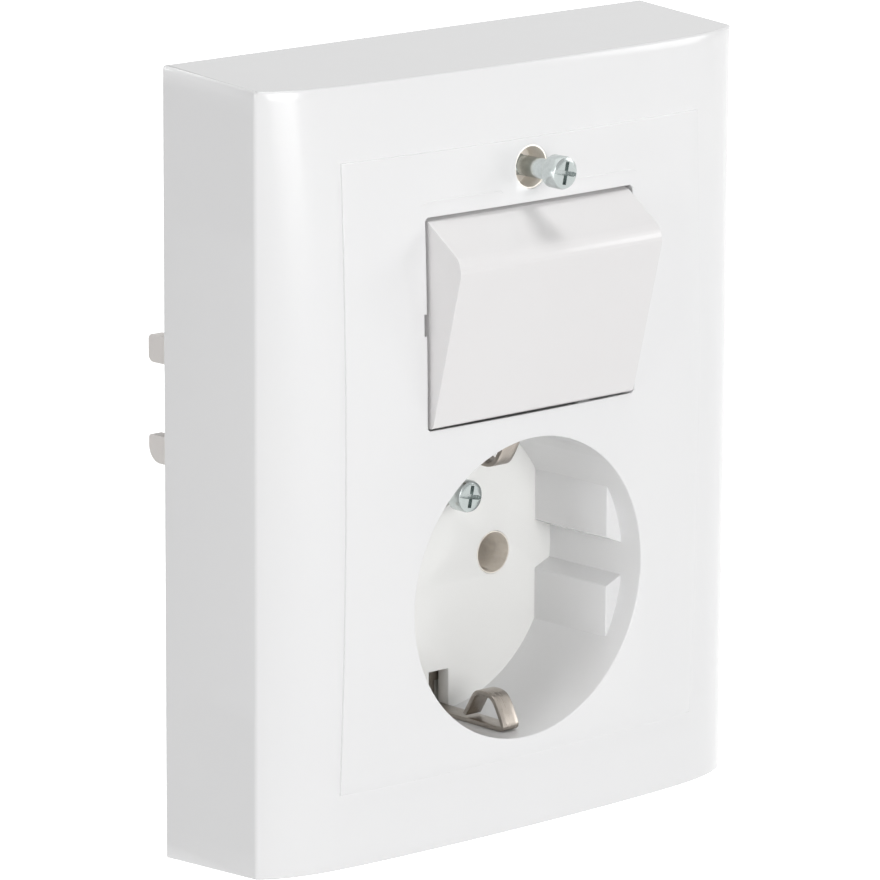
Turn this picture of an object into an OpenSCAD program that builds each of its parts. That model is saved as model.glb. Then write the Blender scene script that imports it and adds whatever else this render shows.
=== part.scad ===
// Switch and socket combination for flush mounting: a rocker switch above an earthed socket,
// under one moulded cover, with its insert for a 60 mm wall box.
// X runs to the right, Y into the wall and Z up. The wall plane is y = 0, the cover's centre x = z = 0.

/* [Cover] */
// Width of the cover at the wall
cover_w = 82; // [80:0.5:88]
// Height of the cover at the wall
cover_h = 101.5; // [101:0.5:108]
// Depth of the side walls, from the wall to the front edge
side_depth = 17; // [16.6:0.1:18]
// Rise of the face from its side edges to its middle
face_rise = 6.5; // [6:0.1:7]
// Thickness of the cover's skin and side walls
cover_wall = 2.2; // [1.8:0.1:2.4]
// Radius of the face across its width
face_radius_x = 400; // [350:10:500]
// Radius of the face along its height
face_radius_z = 730; // [600:10:900]
// Radius of the rounded shoulders at the left and right
shoulder_r = 13.3; // [12:0.1:14]
// Width lost by each side wall from the wall to the front edge
side_draft = 0.3; // [0.1:0.05:0.5]
// Height lost by the top wall from the wall to the front edge
top_draft = 1.2; // [0.4:0.1:1.6]
// Height lost by the bottom wall from the wall to the front edge
bottom_draft = 0.75; // [0.3:0.05:1.5]
// Width of the raised panel on the face
panel_w = 61; // [58:0.5:62]
// Lower edge of the raised panel
panel_bottom = -40; // [-42:0.5:-39]
// Upper edge of the raised panel
panel_top = 40.1; // [39.6:0.1:42]
// Height of the panel above the face
panel_rise = 0.3; // [0.2:0.05:0.5]

/* [Socket well] */
// Height of the well's centre
well_z = -17.9; // [-18.4:0.1:-17.7]
// Inner radius of the well
well_r = 19.65; // [19.5:0.05:19.8]
// Wall of the well
well_wall = 1.8; // [1.4:0.1:1.9]
// Thickness of the well's floor
floor_t = 2; // [1.8:0.1:2.4]
// Distance of the guide ledges from the well's axis
ledge_x = 16.9; // [16.5:0.1:17.3]
// Depth of the guide ledges below the face
ledge_drop = 3.7; // [3:0.1:5]
// Half height of the guide groove at the ledge
groove_half = 3.25; // [2.8:0.05:3.6]
// Half height of the guide groove at the well's wall
groove_root_half = 2.1; // [1.6:0.1:2.4]
// Distance between the two pin holes
pin_spacing = 19; // [18.8:0.1:19.2]
// Radius of the pin holes in the floor
pin_hole_r = 2.85; // [2.7:0.05:3]
// Half width of the slots for the earth clips
slot_half_w = 1.7; // [1.6:0.1:2]
// Depth of the slots, inwards from the well's wall
slot_reach = 5.4; // [5.2:0.1:5.8]

/* [Rocker] */
// Height of the rocker's pivot
pivot_z = 18.5; // [18.4:0.1:19]
// Depth of the pivot below the face
pivot_depth = 6.93; // [6.6:0.1:7.2]
// Distance from the pivot to the rocker's front
rocker_front = 10.05; // [9.8:0.05:10.2]
// Half height of the rocker's front
rocker_half_h = 11.1; // [10.8:0.05:11.2]
// Half width of the rocker
rocker_half_w = 17.3; // [16.9:0.1:17.5]
// Whole swing of the rocker in degrees
rocker_travel = 28; // [26:0.5:29]
// Depth at which the rocker's ends reach their full height, measured from the pivot
rocker_knee = 2.6; // [2.4:0.1:3]
// Inner end of the rocker's skirt, measured from the pivot
rocker_skirt_end = 0.5; // [0.2:0.1:0.8]
// How far the skirt reaches behind the edge of the opening
rocker_catch = 0.55; // [0.4:0.05:0.65]
// Wall of the rocker
rocker_wall = 1.6; // [1.3:0.1:1.8]
// Radius of the rocker's trunnions
trunnion_r = 1.3; // [1.1:0.05:1.4]
// Gap between the rocker and the top and bottom of the opening
end_gap = 0.25; // [0.2:0.05:0.4]
// Gap between the rocker and the sides of the opening
side_gap = 0.5; // [0.4:0.05:0.7]
// Spread of the opening behind the face, per millimetre of depth
opening_flare = 0.25; // [0.2:0.01:0.3]
// Height of the notch at the trunnion
notch_h = 2.7; // [2.4:0.1:2.8]
// Depth of the notch at the trunnion
notch_out = 0.4; // [0.3:0.05:0.6]

/* [Cover screws] */
// Height of the upper cover screw
screw_top_z = 36.4; // [36.4:0.1:37]
// Height of the lower cover screw, in the well
screw_low_z = -8; // [-8.4:0.1:-7.8]
// Radius of the screw's head
head_r = 2.1; // [2:0.05:2.3]
// Height of the screw's head
head_h = 2.3; // [2:0.1:2.6]
// Radius of the screw's shank
shank_r = 1.3; // [1.2:0.05:1.4]
// Length of the screw's shank
shank_l = 11.4; // [11:0.2:12]
// How far the upper screw stands out of its seat
screw_top_out = 7.1; // [6.5:0.1:7.4]
// How far the lower screw stands out of its seat
screw_low_out = 5.1; // [4.5:0.1:6]
// Radius of the sinking for a screw head
sinking_r = 2.8; // [2.7:0.05:2.9]
// Depth of the upper sinking
sinking_top = 3.2; // [3:0.1:3.4]
// Depth of the lower sinking
sinking_low = 1.4; // [1:0.1:1.5]
// Thickness of the metal cup in the upper sinking
eyelet_t = 0.2; // [0.15:0.05:0.3]

/* [Support frame] */
// Height of the support frame
frame_h = 71; // [70:0.5:73]
// Distance of the support frame from the cover's outer sides
frame_margin = 5.5; // [4.5:0.1:6]
// Thickness of the support frame
frame_t = 1; // [0.8:0.1:1.2]
// Distance between the wall box screws
box_screw_spacing = 60; // [59.6:0.1:60.4]
// Radius of the holes for the wall box screws
box_screw_r = 1.75; // [1.7:0.05:2]
// Width of the lug for the upper cover screw
lug_w = 10; // [9:0.5:12]

/* [Insert] */
// Thickness of the base's flange
flange_t = 2; // [1.8:0.1:2.6]
// Width of the base's flange
flange_w = 54; // [52:0.5:54]
// Radius of the base behind the frame
body_r = 27.5; // [27:0.1:27.8]
// Depth of the wide part of the base behind the wall
body_depth = 12; // [11.5:0.5:12]
// Depth of the whole base behind the wall
base_depth = 24; // [23.6:0.1:24.6]
// Depth of the terminal chambers
cavity_depth = 12; // [12:0.1:12.4]
// Half width of the narrow rear part
rear_half_w = 19.3; // [19:0.1:19.6]
// Thickness of the back plate
back_t = 1.5; // [1.2:0.1:2]
// Thickness of the brass strips
strip_t = 0.8; // [0.6:0.05:0.9]
// Inner radius of the pin contacts
sleeve_r = 2.45; // [2.42:0.01:2.5]
// Wall of the pin contacts
sleeve_wall = 0.6; // [0.5:0.05:0.7]
// Thickness of the earth clips' spring strip
clip_t = 0.6; // [0.5:0.05:0.7]
// Width of the earth clips
clip_w = 2.7; // [2.5:0.1:3]
// Depth of the earth clips below the face
clip_drop = 3.8; // [3.5:0.1:5]
// Travel of the release levers
lever_travel = 2.5; // [2:0.1:2.7]
// Distance of the release levers from the middle
lever_x = 17; // [16.9:0.1:17.2]
// Distance of the release levers above and below their middle
lever_z = 6.7; // [6.5:0.1:6.9]
// Height of the middle between the release levers
terminal_mid = 0.6; // [0.3:0.1:0.7]
// Height of a release lever's finger
lever_h = 3.7; // [3.2:0.1:4]
// Thickness of a release lever's finger
lever_t = 1.8; // [1.4:0.1:1.9]
// How far the release levers stand behind the base
lever_out = 5.4; // [5:0.1:7]
// Radius of the wire entries
wire_r = 1.6; // [1.5:0.05:1.7]

/* [Hidden] */
$fn = 72;

eps = 0.01;
fit_gap = 0.05;
loose_gap = 0.15;
seat_gap = 0.2;
large = 200;

// Layers of the insert, from the wall plane to the front
flange_y = -frame_t - flange_t;
bow_y = flange_y - strip_t;
floor_back_y = bow_y - seat_gap;
floor_y = floor_back_y - floor_t;
crown = side_depth + face_rise;

// Height of the face, at a place on the raised panel
function panel_y(x, z) = -(crown + panel_rise - x*x/(2*face_radius_x) - z*z/(2*face_radius_z));
// Height of the skin's inner side
function skin_y(x, z) = panel_y(x, z) + panel_rise + cover_wall;

// Rocker
pivot_y = panel_y(0, pivot_z) + pivot_depth;
rocker_tilt = rocker_travel/2;
opening_half_h = rocker_half_h*cos(rocker_tilt) + rocker_front*sin(rocker_tilt) + end_gap;
opening_half_w = rocker_half_w + side_gap;
rocker_full_h = opening_half_h + rocker_catch;
trunnion_bore_r = trunnion_r + fit_gap;
cheek_t = 2;
cheek_half_h = 4.5;
cheek_out = opening_half_w + cheek_t + 0.2;
cheek_end = 3;
ear_r = 2.6;

// Cover screws
screw_top_seat = panel_y(0, screw_top_z) + sinking_top;
screw_low_seat = floor_y + sinking_low;
thread_r = shank_r + fit_gap;
thread_collar_r = shank_r + 1.2;
thread_collar_l = 1.5;
screw_pass_r = shank_r + 0.3;
eyelet_floor_y = screw_top_seat + eyelet_t;
boss_floor_t = 0.8;
lug_y = eyelet_floor_y + boss_floor_t + seat_gap;
lug_leg_z = screw_top_z + lug_w/2;
lug_low_z = screw_top_z - 3.2;
boss_r = 4;

// Switch chamber in the base
housing_wall = 1.6;
chamber_half_w = 8;
chamber_half_h = 12.2;
chamber_y = flange_y;
housing_y = pivot_y + 6.1;
contact_b = 8.8;
button_r = 1.5;
button_h = 1.2;
pad_half = 1.8;

// Contact lever, on its pin
lever_pin_r = 0.8;
lever_pin_y = chamber_y - 3.6;
lever_tilt = 8;
lever_half_w = 3;
lever_ear_t = 0.8;
lever_back = 1.8;

// Carrier and plunger
tube_r = 2.6;
tube_bore_r = 1.75;
tube_end = 5.5;
plunger_tip = lever_pin_y - lever_back - pivot_y - 0.1;
plunger_r = tube_bore_r - fit_gap;
plunger_tip_r = 1.2;
plunger_start = 2;
carrier_half_w = 13;
carrier_half_h = 8.6;
carrier_t = 1.6;
carrier_rib_x = 9;
carrier_rib_t = 1.2;
carrier_rib_h = 2.4;

// Terminal chambers behind the base
function terminal_z(level) = terminal_mid + level*lever_z;
cavity_half_w = 15.5;
cavity_half_h = 12.5;
rib_t = 1.6;
cavity_y = base_depth - cavity_depth;
link_y = cavity_y + 2;
bar_y = cavity_y;
bar_x = 13;
bar_low_z = -8;
plate_y = cavity_y + 3.6;
plate_inner = 2;
plate_end = 11.2;
plate_gap = 0.9;
rib_y = plate_y + strip_t;
sleeve_out_r = sleeve_r + sleeve_wall;
sleeve_bore_r = sleeve_out_r + loose_gap;
sleeve_front_y = floor_back_y + seat_gap;
sleeve_pocket_y = link_y - strip_t;
sleeve_flange_r = 4;
slit_w = 0.6;
mouth_gap = 0.05;
mouth_flare = 0.25;
pocket_half = sleeve_flange_r + 0.3;
arm_z = -6;
pin_x = pin_spacing/2;
rear_top_z = 20.5;
body_half_w = 25.5;
tongue_half_w = 7;
flange_margin = 1;
lever_slot_y = base_depth - 5.4;
wire_x = 11.3;
wire_collar = 0.5;
wire_collar_l = 1.4;
earth_z = well_z - 4.5;
earth_plate_top = earth_z + 7.7;
earth_strap_half_w = 3;
earth_room_half_w = 4.2;
earth_foot_z = -25.2;
earth_foot_h = 5;
leg_w = 2.4;
leg_z = 11.2;
leg_x = 6.5;
low_leg_x = 2;
low_leg_z = 6.8;
clamp_w = 6;
clamp_t = 0.5;
rivet_x = 24;
rivet_z = 20;
rivet_r = 1.4;
rivet_head_r = 2.2;
rivet_head_h = 0.6;
back_screws = [[0, 16.6], [-16.4, -16.6], [16.4, -16.6]];
back_screw_r = 1;
back_screw_l = 5;
back_head_r = 1.9;
back_head_h = 1.1;

white_gloss = [0.91, 0.91, 0.91];
white_rocker = [0.9, 0.89, 0.9];
cream = [0.86, 0.85, 0.8];
grey_base = [0.8, 0.8, 0.78];
brass_colour = [0.78, 0.66, 0.38];
nickel = [0.62, 0.6, 0.57];
zinc = [0.72, 0.75, 0.78];
steel = [0.66, 0.67, 0.69];
spring_steel = [0.55, 0.55, 0.56];

// Extrusions: an outline in X and Z along Y, one in Y and Z along X, and rods
module along_y(front, back) {
    translate([0, back, 0]) rotate([90, 0, 0]) linear_extrude(back - front) children();
}
module along_x(left, right) {
    translate([left, 0, 0]) rotate([90, 0, 90]) linear_extrude(right - left) children();
}
module rod_y(r, front, back, x = 0, z = 0) {
    translate([x, back, z]) rotate([90, 0, 0]) cylinder(r = r, h = back - front);
}
module rod_x(r, left, right, y = 0, z = 0) {
    translate([left, y, z]) rotate([0, 90, 0]) cylinder(r = r, h = right - left);
}
module block(x, y, z) {
    translate([x[0], y[0], z[0]]) cube([x[1] - x[0], y[1] - y[0], z[1] - z[0]]);
}
module both_sides() {
    children();
    mirror([1, 0, 0]) children();
}
// A strip of even thickness along a line of points
module ribbon(points, t) {
    for (i = [0:len(points) - 2]) {
        run = points[i + 1] - points[i];
        translate(points[i]) rotate(atan2(run[1], run[0])) translate([0, -t/2])
            square([norm(run), t]);
    }
    for (i = [1:len(points) - 2]) translate(points[i]) circle(d = t, $fn = 24);
}
// Turns its children about the rocker's pivot, or about the contact lever's pin
module turned_at(y, z, angle) {
    translate([0, y, z]) rotate([angle, 0, 0]) children();
}

// Solid bounded by the doubly curved face, its rise above the wall less the inset
module face_barrel(inset) {
    rise = crown - inset;
    swing = 12;
    major = face_radius_z - face_radius_x;
    translate([0, face_radius_z - rise, 0])
        rotate([0, 90, 0]) rotate([0, 0, -90 - swing/2])
            rotate_extrude(angle = swing, $fn = 720)
                intersection() {
                    translate([major, 0]) circle(r = face_radius_x, $fn = 720);
                    translate([face_radius_z - 2*crown, -cover_w/2 - 2])
                        square([3*crown, cover_w + 4]);
                }
}
// Outer form of the cover, or its hollow when inset by the wall
module cover_form(inset) {
    half_w = cover_w/2 - inset;
    front_half_w = half_w - side_draft;
    top = cover_h/2 - inset;
    reach = 2*crown/side_depth;
    shoulder_x = cover_w/2 - side_draft - shoulder_r*sin(52);
    shoulder_y = -side_depth + shoulder_r*cos(52);
    intersection() {
        face_barrel(inset);
        linear_extrude(large, center = true) intersection() {
            polygon([[-half_w, 0], [half_w, 0], [half_w - side_draft*reach, -2*crown],
                [-half_w + side_draft*reach, -2*crown]]);
            union() {
                translate([-shoulder_x, -2*crown]) square([2*shoulder_x, 2*crown]);
                for (side = [-1, 1]) translate([side*shoulder_x, shoulder_y])
                    circle(r = shoulder_r - inset, $fn = 180);
                translate([-half_w, shoulder_y]) square([2*half_w, -shoulder_y]);
                translate([-front_half_w, -side_depth + inset])
                    square([2*front_half_w, side_depth - inset]);
            }
        }
        along_x(-large, large)
            polygon([[0, -top], [0, top], [-2*crown, top - top_draft*reach],
                [-2*crown, -top + bottom_draft*reach]]);
    }
}
module well_circle(r) {
    translate([0, well_z]) circle(r = r, $fn = 144);
}
// Half outline of a guide ledge with its groove, on the right of the well
module ledge_outline() {
    difference() {
        intersection() {
            well_circle(well_r + well_wall/2);
            translate([ledge_x, well_z - well_r]) square([well_r, 2*well_r]);
        }
        translate([0, well_z]) polygon([[ledge_x - 1, -groove_half], [ledge_x, -groove_half],
            [well_r, -groove_root_half], [well_r, groove_root_half], [ledge_x, groove_half],
            [ledge_x - 1, groove_half]]);
    }
}
module cover() color(white_gloss) {
    ledge_y = panel_y(ledge_x, well_z) + ledge_drop;
    difference() {
        union() {
            difference() {
                union() {
                    cover_form(0);
                    translate([0, -panel_rise, 0]) intersection() {
                        face_barrel(0);
                        block([-panel_w/2, panel_w/2], [-2*crown, -side_depth], [panel_bottom, panel_top]);
                    }
                }
                translate([0, eps, 0]) cover_form(cover_wall);
                along_y(-2*crown, floor_y) well_circle(well_r);
            }
            intersection() {
                cover_form(0);
                union() {
                    along_y(-2*crown, floor_back_y) difference() {
                        well_circle(well_r + well_wall);
                        well_circle(well_r);
                    }
                    along_y(floor_y, floor_back_y) well_circle(well_r + well_wall);
                    both_sides() along_y(ledge_y, floor_y + eps) ledge_outline();
                    rod_y(boss_r, -2*crown, lug_y - seat_gap, 0, screw_top_z);
                    both_sides() block([opening_half_w, opening_half_w + cheek_t],
                        [-2*crown, pivot_y + cheek_end], [pivot_z - cheek_half_h, pivot_z + cheek_half_h]);
                }
            }
        }
        // Opening for the rocker, wider behind the face
        along_x(-opening_half_w, opening_half_w) {
            front = panel_y(0, pivot_z);
            spread = opening_half_h + opening_flare*(pivot_y - front);
            polygon([[-2*crown, pivot_z - opening_half_h], [front, pivot_z - opening_half_h],
                [pivot_y, pivot_z - spread], [pivot_y, pivot_z + spread],
                [front, pivot_z + opening_half_h], [-2*crown, pivot_z + opening_half_h]]);
        }
        // Trunnion bores and the notches in front of them
        rod_x(trunnion_bore_r, -cheek_out, cheek_out, pivot_y, pivot_z);
        block([-opening_half_w - notch_out, opening_half_w + notch_out],
            [-2*crown, pivot_y - trunnion_bore_r - 1.2], [pivot_z - notch_h/2, pivot_z + notch_h/2]);
        // Screw holes with their sinkings
        rod_y(sinking_r, -2*crown, eyelet_floor_y, 0, screw_top_z);
        rod_y(screw_pass_r, -2*crown, lug_y + 1, 0, screw_top_z);
        rod_y(sinking_r, floor_y - 1, screw_low_seat, 0, screw_low_z);
        rod_y(screw_pass_r, floor_y - 1, 0, 0, screw_low_z);
        // Pin holes and the slots for the earth clips
        both_sides() rod_y(pin_hole_r, floor_y - 1, 0, pin_x, well_z);
        for (side = [-1, 1]) block([-slot_half_w, slot_half_w], [floor_y - 1, 0],
            side > 0 ? [well_z + well_r - slot_reach, well_z + well_r - eps]
                : [well_z - well_r + eps, well_z - well_r + slot_reach]);
    }
}

// Metal cup in the upper sinking, on which the screw's head bears
module screw_eyelet() color(zinc) {
    inner_r = sinking_r - eyelet_t;
    difference() {
        rod_y(sinking_r, panel_y(0, screw_top_z) + eyelet_t, eyelet_floor_y, 0, screw_top_z);
        rod_y(inner_r, -2*crown, screw_top_seat, 0, screw_top_z);
        rod_y(screw_pass_r, -2*crown, 0, 0, screw_top_z);
    }
}

// Side outline of the rocker in its middle position, with the pivot at the origin and the front at -Y
module rocker_side(inset) {
    front = -rocker_front + inset;
    knee = -rocker_knee;
    end = -rocker_skirt_end + (inset > 0 ? 1 : 0);
    half = rocker_half_h - inset;
    full = rocker_full_h - inset;
    polygon([[front, -half], [knee, -full], [end, -full], [end, full], [knee, full], [front, half]]);
}
module rocker() color(white_rocker) turned_at(pivot_y, pivot_z, rocker_tilt) {
    difference() {
        along_x(-rocker_half_w, rocker_half_w) rocker_side(0);
        along_x(-rocker_half_w + rocker_wall, rocker_half_w - rocker_wall) rocker_side(rocker_wall);
    }
    both_sides() {
        rod_x(ear_r, rocker_half_w - rocker_wall, rocker_half_w);
        rod_x(trunnion_r, rocker_half_w - eps, opening_half_w + cheek_t - seat_gap);
        block([rocker_half_w - rocker_wall, rocker_half_w], [-rocker_knee, 0], [-ear_r, ear_r]);
    }
}
module rocker_carrier() color(cream) turned_at(pivot_y, pivot_z, rocker_tilt) {
    top = -rocker_front + rocker_wall;
    difference() {
        union() {
            block([-carrier_half_w, carrier_half_w], [top, top + carrier_t],
                [-carrier_half_h, carrier_half_h]);
            for (x = [-carrier_rib_x, carrier_rib_x]) block([x - carrier_rib_t/2, x + carrier_rib_t/2],
                [top + carrier_t - eps, top + carrier_t + carrier_rib_h],
                [-carrier_half_h + 1, carrier_half_h - 1]);
            rod_y(tube_r, top, tube_end);
        }
        rod_y(tube_bore_r, top + carrier_t, tube_end + 1);
    }
}
module plunger() color(cream) turned_at(pivot_y, pivot_z, rocker_tilt) {
    rod_y(plunger_r, plunger_start, plunger_tip - plunger_tip_r - 1.5);
    rod_y(plunger_tip_r, plunger_tip - plunger_tip_r - 1.5 - eps, plunger_tip - plunger_tip_r);
    translate([0, plunger_tip - plunger_tip_r, 0]) sphere(r = plunger_tip_r, $fn = 36);
}
// Wire of a coil spring along Y, as rings of points round its helix
module plunger_spring() color(spring_steel) turned_at(pivot_y, pivot_z, rocker_tilt) {
    wire = 0.2;
    front = -rocker_front + rocker_wall + carrier_t + wire;
    back = plunger_start - wire;
    mean_r = tube_bore_r - wire - loose_gap;
    turns = 9;
    steps = turns*14;
    sides = 6;
    points = [for (i = [0:steps]) let (a = 360*turns*i/steps, y = front + (back - front)*i/steps)
        for (j = [0:sides - 1]) let (b = 360*j/sides, r = mean_r + wire*cos(b))
            [r*cos(a), y + wire*sin(b), r*sin(a)]];
    skin = [for (i = [0:steps - 1]) for (j = [0:sides - 1])
        let (k = (j + 1) % sides) [i*sides + j, i*sides + k, (i + 1)*sides + k, (i + 1)*sides + j]];
    first = [for (j = [sides - 1:-1:0]) j];
    last = [for (j = [0:sides - 1]) steps*sides + j];
    polyhedron(points, concat(skin, [first], [last]));
}
// See-saw that carries the two moving contacts
module contact_lever() color(brass_colour) turned_at(lever_pin_y, pivot_z, -lever_tilt) {
    dish = 0.6;
    wing = 3.4;
    lift = lever_back + 0.6 - strip_t/2;
    low = lever_back - strip_t/2;
    end = contact_b + 1.6;
    difference() {
        union() {
            along_x(-lever_half_w, lever_half_w) ribbon([[-low, -end], [-lift, -wing], [-low, -dish],
                [-low, dish], [-lift, wing], [-low, end]], strip_t);
            both_sides() {
                rod_x(lever_pin_r + 1.1, lever_half_w, lever_half_w + lever_ear_t);
                block([lever_half_w - eps, lever_half_w + lever_ear_t], [-lever_back, 0], [-1.9, 1.9]);
            }
        }
        rod_x(lever_pin_r + fit_gap, -large, large);
    }
    for (side = [-1, 1]) rod_y(button_r, -low, 0, 0, side*contact_b);
}
// Foot of a brass part on the chamber's floor, and its leg back to a terminal
module floor_strip(x, z) {
    block(x, [chamber_y - strip_t, chamber_y], z);
}
module leg(x, z, back) {
    block([x - leg_w/2, x + leg_w/2], [chamber_y - strip_t, back], z);
}
module leg_slot(x, z) {
    leg_half = leg_w/2 + eps;
    block([x - leg_half, x + leg_half], [chamber_y - 1, cavity_y + 1], [z - eps, z + strip_t + eps]);
}
module terminal_plate(side, low, high) {
    outer = cavity_half_w - plate_gap;
    block(side > 0 ? [plate_inner, outer] : [-outer, -plate_inner], [plate_y, plate_y + strip_t],
        [low, high]);
}
module common_contact() color(brass_colour) {
    post_half_w = lever_half_w - 0.4;
    pin_end = lever_half_w + lever_ear_t + 0.3;
    rod_x(lever_pin_r, -pin_end, pin_end, lever_pin_y, pivot_z);
    block([-post_half_w, post_half_w], [lever_pin_y, chamber_y], [pivot_z - 0.4, pivot_z + 0.4]);
    floor_strip([-leg_x - leg_w/2, post_half_w], [pivot_z - 1.5, pivot_z + 1.5]);
    floor_strip([-leg_x - leg_w/2, -leg_x + leg_w/2], [leg_z, pivot_z + 1.5]);
    leg(-leg_x, [leg_z, leg_z + strip_t], plate_y + strip_t);
    terminal_plate(-1, plate_inner, leg_z + strip_t);
}
module upper_contact() color(brass_colour) {
    rod_y(button_r, chamber_y - strip_t - button_h, chamber_y - strip_t + eps, 0, pivot_z + contact_b);
    pad_top = pivot_z + contact_b + pad_half;
    floor_strip([-pad_half, leg_x + leg_w/2], [pad_top - 2*pad_half, pad_top]);
    floor_strip([leg_x - leg_w/2, leg_x + leg_w/2], [leg_z, pad_top]);
    leg(leg_x, [leg_z, leg_z + strip_t], plate_y + strip_t);
    terminal_plate(1, plate_inner, leg_z + strip_t);
}
module lower_contact() color(brass_colour) {
    rod_y(button_r, chamber_y - strip_t - button_h, chamber_y - strip_t + eps, 0, pivot_z - contact_b);
    bar_w = 3;
    bar = [-bar_x, -bar_x + bar_w];
    floor_strip([-low_leg_x - leg_w/2, pad_half], [low_leg_z, pivot_z - contact_b + pad_half]);
    leg(-low_leg_x, [low_leg_z, low_leg_z + strip_t], bar_y + strip_t);
    block([-bar_x, -low_leg_x + leg_w/2], [bar_y, bar_y + strip_t], [low_leg_z - 1, low_leg_z + strip_t]);
    block(bar, [bar_y, bar_y + strip_t], [bar_low_z, low_leg_z]);
    block(bar, [bar_y, plate_y + strip_t], [bar_low_z, bar_low_z + strip_t]);
    terminal_plate(-1, -plate_end, -plate_inner);
}
// Slit sleeve that grips a plug's pin, with its seating flange and a flared mouth in the pin hole
module pin_sleeve(x) {
    difference() {
        union() {
            rod_y(sleeve_out_r, sleeve_front_y, link_y, x, well_z);
            rod_y(sleeve_flange_r, sleeve_pocket_y, link_y, x, well_z);
            rod_y(pin_hole_r - mouth_gap, floor_y + mouth_gap, sleeve_front_y + eps, x, well_z);
        }
        translate([x, sleeve_front_y, well_z]) rotate([90, 0, 0])
            cylinder(r1 = sleeve_r, r2 = sleeve_r + mouth_flare, h = sleeve_front_y - floor_y);
        rod_y(sleeve_r, floor_y - 1, link_y + 1, x, well_z);
        block([x - slit_w/2, x + slit_w/2], [sleeve_front_y - 1, sleeve_pocket_y - 3],
            [well_z - sleeve_out_r - 1, well_z + sleeve_out_r + 1]);
    }
}
module left_pin_contact() color(brass_colour) pin_sleeve(-pin_x);
module right_pin_contact() color(brass_colour) {
    pin_sleeve(pin_x);
    difference() {
        block([pin_x - leg_w/2, pin_x + leg_w/2], [link_y - strip_t, link_y], [well_z + sleeve_r, arm_z]);
        rod_y(sleeve_r, 0, link_y + 1, pin_x, well_z);
    }
    block([pin_x - leg_w/2, pin_x + leg_w/2], [link_y - strip_t, plate_y + strip_t],
        [arm_z - strip_t, arm_z]);
    terminal_plate(1, -plate_end, -plate_inner);
}
module line_link() color(brass_colour) {
    difference() {
        block([-leg_x - leg_w/2, -leg_x + leg_w/2], [link_y, link_y + strip_t], [well_z - 2, leg_z]);
        rod_y(sleeve_r, 0, base_depth, -pin_x, well_z);
    }
}

// Earth bow: strap behind the well's floor with a clip at each end, drawn along Y and outwards
clip_leg = well_r - clip_t/2 - 0.1;
clip_front_y = panel_y(0, well_z + well_r) + clip_drop;
clip_bend = [[0, 0], [-0.15, -0.4], [0.1, -0.9], [0.55, -1.8], [1.25, -3], [2, -3.75], [2.9, -4.1],
    [4.7, -4.05], [5.4, -3.6], [7.1, -0.7]];
clip_line = concat([[flange_y - strip_t/2, clip_leg]], [for (p = clip_bend) [clip_front_y, clip_leg] + p]);
module earth_bow() color(nickel) {
    half_w = 3.5;
    neck = clip_leg - 3;
    difference() {
        union() {
            block([-half_w, half_w], [bow_y, flange_y], [well_z - neck, well_z + neck]);
            block([-clip_w/2, clip_w/2], [bow_y, flange_y], [well_z - clip_leg, well_z + clip_leg]);
            rod_y(thread_collar_r, bow_y, flange_y + thread_collar_l, 0, screw_low_z);
        }
        rod_y(thread_r, bow_y - 1, 0, 0, screw_low_z);
    }
    translate([0, 0, well_z]) along_x(-clip_w/2, clip_w/2) {
        ribbon(clip_line, clip_t);
        mirror([0, 1]) ribbon(clip_line, clip_t);
    }
}
module earth_strap() color(nickel) {
    foot = [-earth_strap_half_w, earth_strap_half_w];
    block(foot, [flange_y, plate_y + strip_t], [earth_foot_z, earth_foot_z + strip_t]);
    block(foot, [flange_y, flange_y + strip_t], [earth_foot_z, earth_foot_z + earth_foot_h]);
    block(foot, [plate_y, plate_y + strip_t], [earth_foot_z, earth_plate_top]);
}

module frame_opening() {
    intersection() {
        circle(r = body_r + seat_gap, $fn = 144);
        square([2*body_half_w + 2*seat_gap, large], center = true);
    }
}
module support_frame() color(steel) {
    corner = 4;
    half_w = cover_w/2 - frame_margin;
    half_h = frame_h/2;
    half_lug = lug_w/2;
    difference() {
        union() {
            along_y(-frame_t, 0) {
                square([2*half_w - 2*corner, 2*half_h], center = true);
                square([2*half_w, 2*half_h - 2*corner], center = true);
                for (x = [-1, 1], z = [-1, 1])
                    translate([x*(half_w - corner), z*(half_h - corner)]) circle(corner);
                translate([-half_lug, half_h - 1]) square([lug_w, lug_leg_z - half_h + 1 + frame_t]);
            }
            block([-half_lug, half_lug], [lug_y, 0], [lug_leg_z, lug_leg_z + frame_t]);
            block([-half_lug, half_lug], [lug_y, lug_y + frame_t], [lug_low_z, lug_leg_z + frame_t]);
            rod_y(thread_collar_r, lug_y, lug_y + frame_t + thread_collar_l, 0, screw_top_z);
        }
        along_y(-frame_t - 1, 1) frame_opening();
        rod_y(thread_r, lug_y - 1, -frame_t, 0, screw_top_z);
        both_sides() rod_y(box_screw_r, -frame_t - 1, 1, box_screw_spacing/2, 0);
        rivet_places() rod_y(rivet_r + fit_gap, -frame_t - 1, 1);
    }
}
module rivet_places() {
    for (x = [-1, 1], z = [-1, 1]) translate([x*rivet_x, 0, z*rivet_z]) children();
}
module frame_rivets() color(steel) rivet_places() {
    rod_y(rivet_r, flange_y, 0);
    rod_y(rivet_head_r, flange_y - rivet_head_h, flange_y);
}

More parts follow.
